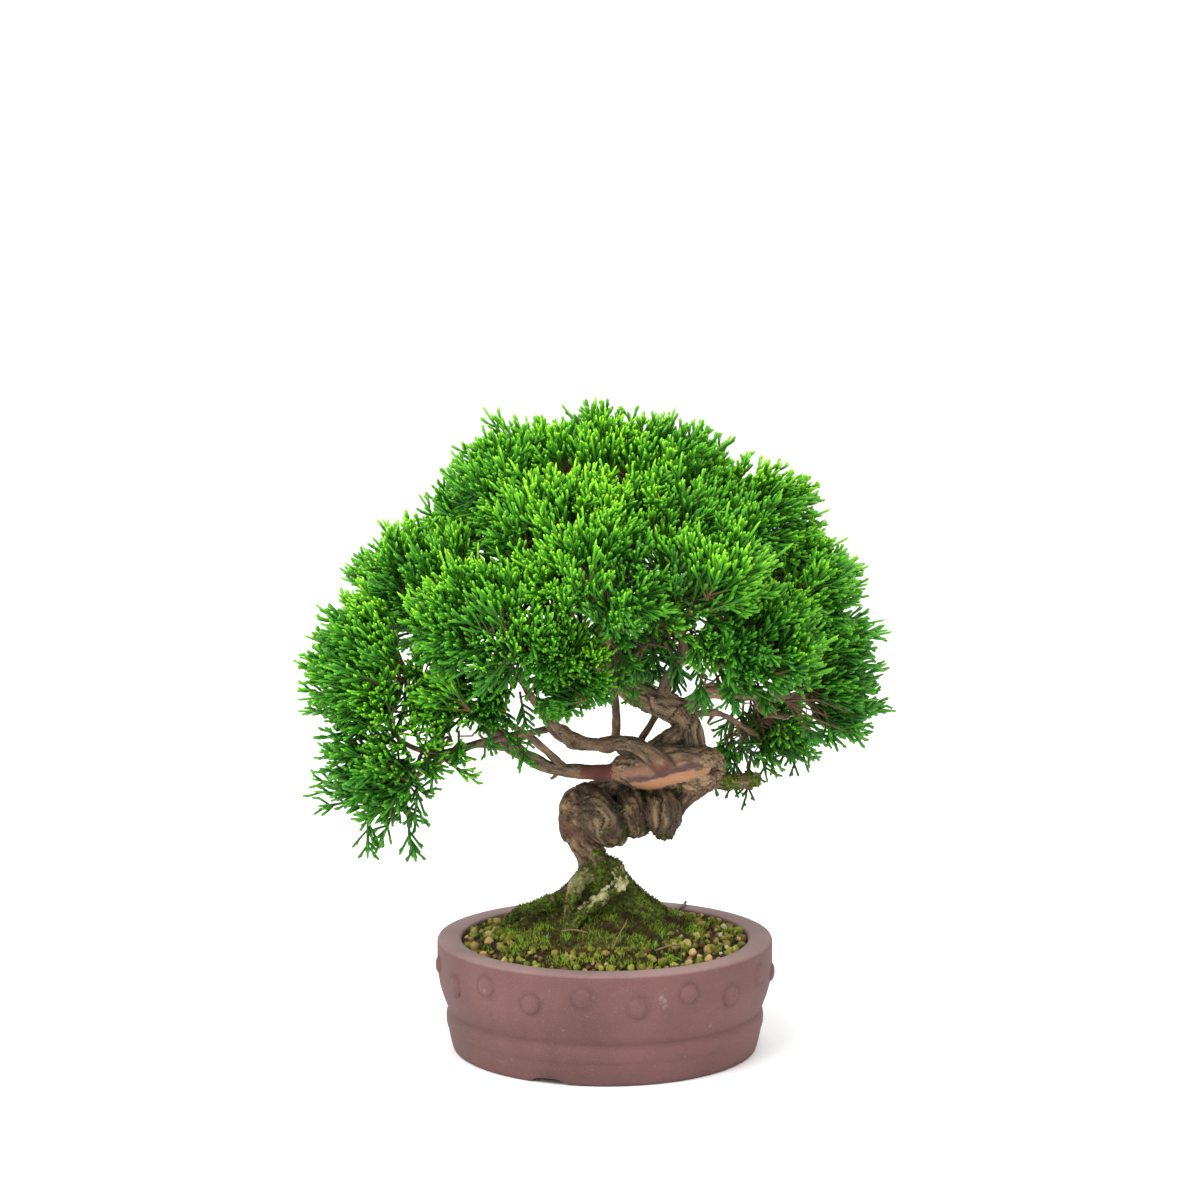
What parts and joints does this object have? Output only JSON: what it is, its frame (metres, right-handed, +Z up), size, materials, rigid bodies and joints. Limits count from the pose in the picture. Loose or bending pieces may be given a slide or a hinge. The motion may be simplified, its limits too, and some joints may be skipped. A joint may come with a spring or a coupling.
{
  "type": "itoigawa juniper bonsai in a round drum pot",
  "caption": "Juniper bonsai with a corkscrew trunk and dense pads of scale-leaf foliage, planted in a round unglazed studded pot with soil and moss.",
  "frame": {"origin": "on the pot's axis, at the surface that the pot stands on", "axes": "+Z up, -Y towards the viewer at the tree's best side, +X to the viewer's right"},
  "size_m": [0.3159, 0.2526, 0.3507],
  "materials": {
    "clay": "matt unglazed brown-mauve stoneware",
    "granules": "dry porous akadama granules",
    "moss": "short living moss",
    "bark": "fibrous brown-grey bark with reddish bare patches",
    "foliage": "fine scale leaves with yellow-green tips",
    "wire": "bronze anodised",
    "mesh_plastic": "matt"
  },
  "bodies": {
    "root": {"pot": "clay", "drain_mesh": "mesh_plastic", "mesh_clip": "wire", "tie_wire": "wire", "soil": "granules", "moss": "moss", "tree_wood": "bark", "foliage_top_left": "foliage", "foliage_top": "foliage", "foliage_top_right": "foliage", "foliage_right_shoulder": "foliage", "foliage_right_upper": "foliage", "foliage_right_low": "foliage", "foliage_right_front": "foliage", "foliage_front_right": "foliage", "foliage_front_centre": "foliage", "foliage_front_left": "foliage", "foliage_left_upper": "foliage", "foliage_left": "foliage", "foliage_left_low": "foliage", "foliage_left_inner": "foliage", "foliage_centre_low": "foliage", "foliage_back_hanging": "foliage", "foliage_mid_left": "foliage", "foliage_mid_right": "foliage", "foliage_back_left": "foliage", "foliage_back": "foliage", "foliage_back_right": "foliage", "foliage_back_right_low": "foliage", "foliage_back_low": "foliage", "foliage_back_top_left": "foliage", "foliage_back_top_right": "foliage"}
  },
  "joints": []
}
